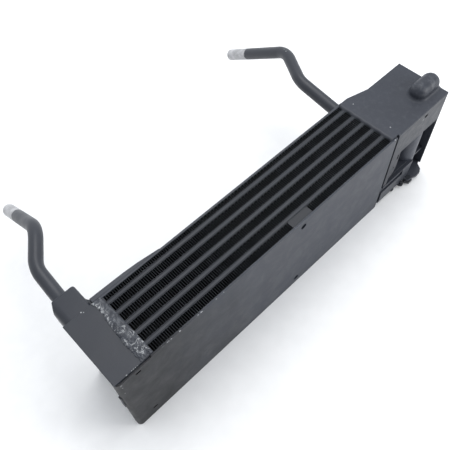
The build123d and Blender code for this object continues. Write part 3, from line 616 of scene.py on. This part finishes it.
def hood_edge_weld(mat):
    """A shallow bead that closes the hood's edge against the core, a little lobed along its foot."""
    y0, y1 = BEAD_FRONT, -BEAD_FRONT
    x0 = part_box("header_hood")[0].x / MM
    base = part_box("core_weld")[0].z / MM
    count = int((y1 - y0) / EDGE_STEP)
    bm = bmesh.new()
    rows = []
    for i in range(count + 1):
        y = y0 + (y1 - y0) * i / count
        lobe = 0.5 - 0.5 * math.cos(2 * math.pi * (y - ROW_MIDDLE) / ROW_STEP)
        wander = 0.35 * noise.noise(Vector((4.0, y * 0.5, 2.0)))
        row = []
        for k, (x, z) in enumerate(EDGE_WELD):
            reach = k / (len(EDGE_WELD) - 1)
            x -= reach * (EDGE_LOBE * lobe + wander)
            z += 0.12 * noise.noise(Vector((k * 0.9, y * 0.6, 8.0))) * math.sin(math.pi * reach)
            row.append(bm.verts.new(((x0 + x) * MM, y * MM, (base + z) * MM)))
        for x, _ in (EDGE_WELD[-1], EDGE_WELD[0]):
            row.append(bm.verts.new(((x0 + x) * MM, y * MM, (base - EDGE_FOOT) * MM)))
        rows.append(row)
    for one, two in zip(rows, rows[1:]):
        for k in range(len(one)):
            n = (k + 1) % len(one)
            bm.faces.new((one[k], one[n], two[n], two[k]))
    bm.faces.new(rows[0])
    bm.faces.new(rows[-1])
    bmesh.ops.recalc_face_normals(bm, faces=bm.faces)
    obj = new_object("hood_edge_weld", bm, mat, smooth_angle=70)
    return obj


# Bent pipes
PIPE_RADIUS = 9.0
PIPE_BORE = 7.0             # radius of the bore
PIPE_SIDES = 56
PIPE_STEP = 2.0             # spacing of the rings in a bend
STRAIGHT_STEP = 6.0         # and in a straight run
BENDS = (90.0, 42.0, 42.0)  # radii of a route's bends, in order
TIGHT_BEND = 60.0           # bends under this radius flatten the pipe
FLATTENING = 0.035
NEAR_ROUTE = [(-234.2, 68.3, 139.5), (-234.2, 92.0, 139.5), (-232.6, 135.5, 146.0),
              (-201.1, 183.6, 145.2), (-201.9, 288.7, 74.9)]
FAR_ROUTE = [(219.6, 38.0, 124.5), (219.6, 62.0, 124.5), (220.4, 130.3, 134.2),
             (253.3, 187.6, 133.5), (250.6, 308.0, 58.6)]
RIM = 0.7                   # rounding of the open end
RIM_STEPS = 4


def centre_line(points, radii):
    """Points along straight runs joined by tangent arcs, each with how tightly it bends there."""
    points = [Vector(p) for p in points]
    path = [(points[0], 0.0, None)]
    for before, here, after, radius in zip(points, points[1:], points[2:], radii):
        one, two = (here - before).normalized(), (after - here).normalized()
        turn = one.angle(two)
        cut = radius * math.tan(turn / 2)
        start = here - one * cut
        middle = start + (two - one * one.dot(two)).normalized() * radius
        axis = one.cross(two).normalized()
        steps = max(int(radius * turn / PIPE_STEP), 3)
        for k in range(steps + 1):
            spoke = Matrix.Rotation(turn * k / steps, 3, axis) @ (start - middle)
            bend = math.sin(math.pi * k / steps) * (radius < TIGHT_BEND)
            path.append((middle + spoke, bend, axis))
    path.append((points[-1], 0.0, None))
    filled = [path[0]]
    for item in path[1:]:
        gap = (item[0] - filled[-1][0]).length
        pieces = max(int(gap / STRAIGHT_STEP), 1)
        last = filled[-1][0]
        for k in range(1, pieces):
            filled.append((last.lerp(item[0], k / pieces), 0.0, None))
        filled.append(item)
    return filled


def tube(points, node, mat):
    """A pipe with a rounded open end, a true bore, and slightly flattened bends."""
    path = centre_line(points, BENDS)
    bm = bmesh.new()
    side = None
    rings = []
    for i, (place, bend, axis) in enumerate(path):
        ahead = path[min(i + 1, len(path) - 1)][0] - path[max(i - 1, 0)][0]
        ahead.normalize()
        if side is None:
            side = ahead.orthogonal().normalized()
        side = (side - ahead * side.dot(ahead)).normalized()
        rings.append((place, ahead, side.copy(), bend, axis))

    def ring(place, ahead, start, bend, axis, radius):
        other = ahead.cross(start)
        out = []
        for k in range(PIPE_SIDES):
            angle = 2 * math.pi * k / PIPE_SIDES
            spoke = start * math.cos(angle) + other * math.sin(angle)
            squeeze = 1.0
            if axis is not None:
                squeeze = 1.0 - FLATTENING * bend * (1 - spoke.dot(axis) ** 2)
            out.append(bm.verts.new((place + spoke * radius * squeeze) * MM))
        return out

    last = rings[-1]
    outer = [ring(*r, PIPE_RADIUS) for r in rings[:-1]]
    rim = []
    for k in range(RIM_STEPS + 1):
        angle = math.pi / 2 * k / RIM_STEPS
        back = RIM * (1 - math.sin(angle))
        radius = PIPE_RADIUS - RIM + RIM * math.cos(angle)
        rim.append(ring(last[0] - last[1] * back, *last[1:], radius))
    inner = [ring(*r, PIPE_BORE) for r in rings[::-1]]
    loops = outer + rim + inner
    for a, b in zip(loops, loops[1:] + loops[:1]):
        for k in range(PIPE_SIDES):
            n = (k + 1) % PIPE_SIDES
            bm.faces.new((a[k], a[n], b[n], b[k]))
    bmesh.ops.recalc_face_normals(bm, faces=bm.faces)
    return stand_in(new_object(node + "_tube", bm, mat, smooth_angle=40), node)


def bare_end(route, share):
    """Where a pipe's paint stops: its tip, its direction there, and the bare length, in metres."""
    tip, before = Vector(route[-1]) * MM, Vector(route[-2]) * MM
    along = (tip - before).normalized()
    return tuple(tip), tuple(along), (tip - before).length * share


# ---------------------------------------------------------------- camera, light and floor

CAMERA_PLACE = (-0.2757144, -0.25516132, 0.71705238)
CAMERA_AHEAD = (0.35381746, 0.40846528, -0.84140913)
CAMERA_RIGHT = (0.71996153, -0.69319213, -0.03376474)
CAMERA_LENS = 44.993
CAMERA_SENSOR = 36.0
KEY_PLACE, KEY_TARGET, KEY_SIZE, KEY_POWER = (0.85, -0.95, 0.55), (0.15, 0.0, 0.08), 0.5, 7.0
TOP_PLACE, TOP_TARGET, TOP_SIZE, TOP_POWER = (0.5, 0.4, 2.0), (0.02, 0.0, 0.10), 1.4, 18.0
SURROUND = (0.30, 1.15)     # brightness of the surround on its dim side and on its bright side
SURROUND_FROM = (0.45, 0.62, 0.64)
SURROUND_SPREAD = 0.75      # how gradually one turns into the other
SURROUND_TINT = (0.93, 0.96, 1.0, 1.0)
FLOOR_HALF = 6.0            # half the floor's width
FLOOR_GAP = 0.0005          # and how far it lies under the cooler


def camera():
    """The photograph's viewpoint: above the plain tank's front corner, looking along the core."""
    data = bpy.data.cameras.new("camera")
    data.lens = CAMERA_LENS
    data.sensor_width = CAMERA_SENSOR
    data.clip_start, data.clip_end = 0.01, 20.0
    cam = bpy.data.objects.new("camera", data)
    ahead = Vector(CAMERA_AHEAD).normalized()
    right = Vector(CAMERA_RIGHT).normalized()
    up = right.cross(ahead).normalized()
    rotation = Matrix((right, up, -ahead)).transposed()
    cam.matrix_world = Matrix.Translation(CAMERA_PLACE) @ rotation.to_4x4()
    SCENE.collection.objects.link(cam)
    SCENE.camera = cam


def lamp(name, place, target, size, power):
    """A square soft box that faces its target."""
    data = bpy.data.lights.new(name, "AREA")
    data.shape = "RECTANGLE"
    data.size = data.size_y = size
    data.energy = power
    obj = bpy.data.objects.new(name, data)
    obj.location = place
    obj.rotation_euler = (Vector(target) - Vector(place)).to_track_quat("-Z", "Y").to_euler()
    SCENE.collection.objects.link(obj)


def surround():
    """A white surround, brighter on one side."""
    world = bpy.data.worlds.new("surround")
    world.use_nodes = True
    nodes, links = world.node_tree.nodes, world.node_tree.links
    back = nodes["Background"]
    back.inputs["Color"].default_value = SURROUND_TINT
    towards = nodes.new("ShaderNodeVectorMath")
    towards.operation = "DOT_PRODUCT"
    towards.inputs[1].default_value = SURROUND_FROM
    links.new(nodes.new("ShaderNodeTexCoord").outputs["Generated"], towards.inputs[0])
    level = nodes.new("ShaderNodeMapRange")
    level.interpolation_type = "SMOOTHSTEP"
    level.inputs["From Min"].default_value = -SURROUND_SPREAD
    level.inputs["From Max"].default_value = SURROUND_SPREAD
    level.inputs["To Min"].default_value, level.inputs["To Max"].default_value = SURROUND
    links.new(towards.outputs["Value"], level.inputs["Value"])
    links.new(level.outputs["Result"], back.inputs["Strength"])
    SCENE.world = world


def floor():
    """A plain pale floor just under the cooler."""
    bm = bmesh.new()
    bmesh.ops.create_grid(bm, x_segments=2, y_segments=2, size=FLOOR_HALF)
    mesh = bpy.data.meshes.new("floor")
    bm.to_mesh(mesh)
    bm.free()
    obj = bpy.data.objects.new("floor", mesh)
    obj.location = (0, 0, CAD_BOX[0].z - FLOOR_GAP)
    t = Tree("pale_floor")
    speckle = t.ramp(t.noise(40.0, 3.0), 0.4, 0.6)
    t.link(t.mix(speckle, (0.90, 0.90, 0.90), (0.92, 0.92, 0.92)), t.bsdf.inputs["Base Color"])
    t.bsdf.inputs["Roughness"].default_value = 0.9
    t.bsdf.inputs["Specular IOR Level"].default_value = 0.1
    mesh.materials.append(t.mat)
    SCENE.collection.objects.link(obj)


camera()
surround()
lamp("key_softbox", KEY_PLACE, KEY_TARGET, KEY_SIZE, KEY_POWER)
lamp("top_softbox", TOP_PLACE, TOP_TARGET, TOP_SIZE, TOP_POWER)
floor()
SCENE.view_settings.view_transform = "Standard"
SCENE.view_settings.look = "None"
random.seed(7)


# ---------------------------------------------------------------- the cooler's pieces

def mm(*places):
    """Chips given as (X, Y, Z, radius) in millimetres."""
    return [((x * MM, y * MM, z * MM), r * MM) for x, y, z, r in places]


def flecks(count, start, end, radius):
    """Small chips scattered along an edge, in millimetres."""
    places = []
    for _ in range(count):
        share = random.random()
        place = [a + share * (b - a) for a, b in zip(start, end)]
        places.append((*place, radius * random.uniform(0.6, 1.2)))
    return mm(*places)


top_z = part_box("tank_shell")[1].z / MM
front_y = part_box("front_side_plate")[0].y / MM
HOOD_OVER = 2.55            # the hood's top over the header's back wall
hood_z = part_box("header_back_wall")[1].z / MM + HOOD_OVER

# Places of wear, blotches and painted shade. The two slots in the front plate have painted shade at both
# ends.
SLOT_DEPTH = 0.8
SLOT_X, SLOT_HALF, SLOT_SHADE_RADIUS = -225.5, 1.8, 2.9
slots = [(SLOT_X, front_y + SLOT_DEPTH, z) for z in (19.0, top_z - 9.5)]
slot_shade = mm(*[(x + shift, y, z, SLOT_SHADE_RADIUS) for x, y, z in slots for shift in (-SLOT_HALF, SLOT_HALF)])
tank_chips = mm((-229.0, 46.0, top_z, 1.3), (-226.8, 43.9, top_z, 0.8))
tank_chips += flecks(7, (-238.0, -43.6, top_z), (-214.0, -43.6, top_z), 1.0)
plate_chips = mm((-247.5, front_y, 152.0, 1.5), (-247.2, front_y, 145.0, 0.9),
                 (-247.6, front_y, 128.0, 1.1), (205.0, front_y, top_z, 1.3))
plate_chips += flecks(9, (-196.0, front_y, top_z), (-100.0, front_y, top_z), 1.2)
# Painted shade as (X where it is full, X where it ends, depth), in metres: a darker strip on the plate's
# folded near edge, and the plate darkening towards its near end
PLATE_SHADE = ((-0.2482, -0.2458, 0.55), (-0.21, -0.05, 0.84))
HOOD_SHADE_DROP = 3.0             # the hood has painted shade from this far under its top
hood_chips = mm((216.0, -29.0, hood_z, 1.1), (215.0, 32.0, hood_z, 1.0), (269.0, -46.7, 146.5, 1.2))
blister_blotches = mm((292.0, -19.2, 170.0, 18.0), (308.0, -19.2, 170.0, 18.0))
far_pipe_chips = mm((250.0, 190.0, 141.0, 1.6), (247.5, 184.0, 141.8, 1.4), (253.0, 195.0, 139.5, 1.2))

# Each part gets its own tone of the one dark paint, tuned to how bright that part looks: lighter and
# darker copies that stand in for light and shade.
sheet_paint = paint("sheet_paint")
tank_paint = paint("tank_paint", tone=0.80, shine=0.38, wear=0.5, chips=tank_chips)
plate_paint = paint("plate_paint", tone=1.28, rough=0.46, wear=0.7, shade_spots=slot_shade,
                    shade_bands=PLATE_SHADE, shine=0.30, chips=plate_chips)
hood_paint = rough_paint("hood_paint", tone=1.15, shine=0.28, shaded=(hood_z - HOOD_SHADE_DROP) * MM,
                         blotches=blister_blotches, chips=hood_chips)
# A darker copy of the paint with painted shade around the slots, for the tank's front cap in the gap
# behind the front plate
slot_shade_paint = paint("slot_shade_paint", tone=0.5, shade_spots=slot_shade)
bar_paint = paint("bar_paint", tone=0.68, shine=0.34, wear=0.35, edge=0.0004)
block_paint = paint("block_paint", tone=0.50, wear=0.3, shine=0.32)
edge_weld_paint = paint("edge_weld_paint", tone=1.0, wear=0.2, texture=1.6)
inner_paint = paint("inner_paint", tone=1.10, wear=0.15)
housing_paint = rough_paint("housing_paint", tone=1.60)
screw_paint = paint("screw_paint", tone=0.55, rough=0.36, wear=0.5, edge=0.0005)
fins = fin_paint("fin_paint")
small_weld = weld_paint("small_weld_paint", 0.5)
aluminium = steel("bare_aluminium", (0.62, 0.63, 0.65), 0.34, (0.2, 8.0, 8.0))
valve_steel = steel("valve_steel", (0.50, 0.51, 0.53), 0.26, (6.0, 6.0, 1.0))
spring_steel = steel("spring_steel", (0.38, 0.38, 0.40), 0.24, (3.0, 3.0, 3.0))
washer = copper_washer("washer_copper")

# Material and edge rounding of each piece that is a softened copy of its CAD node
BEVELLED = {
    "front_side_plate": (plate_paint, 0.45), "back_side_plate": (sheet_paint, 0.45),
    "back_doubler": (sheet_paint, 0.6), "tank_shell": (tank_paint, 0.6),
    "tank_front_cap": (slot_shade_paint, 0.4), "tank_back_cap": (sheet_paint, 0.4),
    "port_boss": (tank_paint, 0.8), "tank_end_pad": (sheet_paint, 0.3),
    "header_hood": (hood_paint, 0.6), "header_tank": (inner_paint, 0.4),
    "header_end_wall": (sheet_paint, 0.5), "header_back_wall": (sheet_paint, 0.5),
    "header_shelf": (sheet_paint, 0.5), "lower_rail": (sheet_paint, 0.5),
    "foot_plate": (sheet_paint, 0.6), "threaded_block_top": (block_paint, 0.5),
    "threaded_block_bottom": (block_paint, 0.5), "end_bars_near": (bar_paint, 0.3),
    "end_bars_far": (bar_paint, 0.3), "valve_housing": (housing_paint, 0.5),
    "ear_bolt": (screw_paint, 0.4), "foot_screws": (screw_paint, 0.2),
    "valve_plug": (screw_paint, 0.5), "plug_washer": (washer, 0.2)}
ROLLED = {"header_hood": {0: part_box("header_hood")[0].x, 2: hood_z * MM},
          "port_boss": {1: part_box("port_boss")[1].y}}
PASSAGES = 5
TURBULATORS = 4
BAR_ROUNDING, BAR_SEGMENTS = 0.9, 4
SHEET_ROUNDING = 0.25
NEAR_BARE, FAR_BARE = 0.37, 0.335   # bare share of each pipe's last straight run

for node, (mat, width) in BEVELLED.items():
    softened(node, mat, width, rolled=ROLLED.get(node))
for number in range(1, PASSAGES + 1):
    softened(f"passage_bars_{number}", bar_paint, BAR_ROUNDING, BAR_SEGMENTS)
    softened(f"parting_sheets_{number}", bar_paint, SHEET_ROUNDING)
for node in sorted(NODES):
    if node.startswith("air_fins"):
        fin_row(node, fins)
core_bead()
hood_edge_weld(edge_weld_paint)
coil("valve_spring", spring_steel)
tube(NEAR_ROUTE, "near_pipe", pipe_paint("near_pipe_paint", *bare_end(NEAR_ROUTE, NEAR_BARE)))
tube(FAR_ROUTE, "far_pipe",
     pipe_paint("far_pipe_paint", *bare_end(FAR_ROUTE, FAR_BARE), far_pipe_chips))

# CAD nodes that show as they are
FINISHES = {"near_pipe_weld": small_weld, "far_pipe_weld": small_weld,
            "bypass_partition": inner_paint, "transfer_tubes": aluminium,
            "valve_seat": valve_steel, "valve_poppet": valve_steel}
for number in range(1, TURBULATORS + 1):
    FINISHES[f"turbulator_{number}"] = aluminium
for node, mat in FINISHES.items():
    set_material(NODES[node], mat)
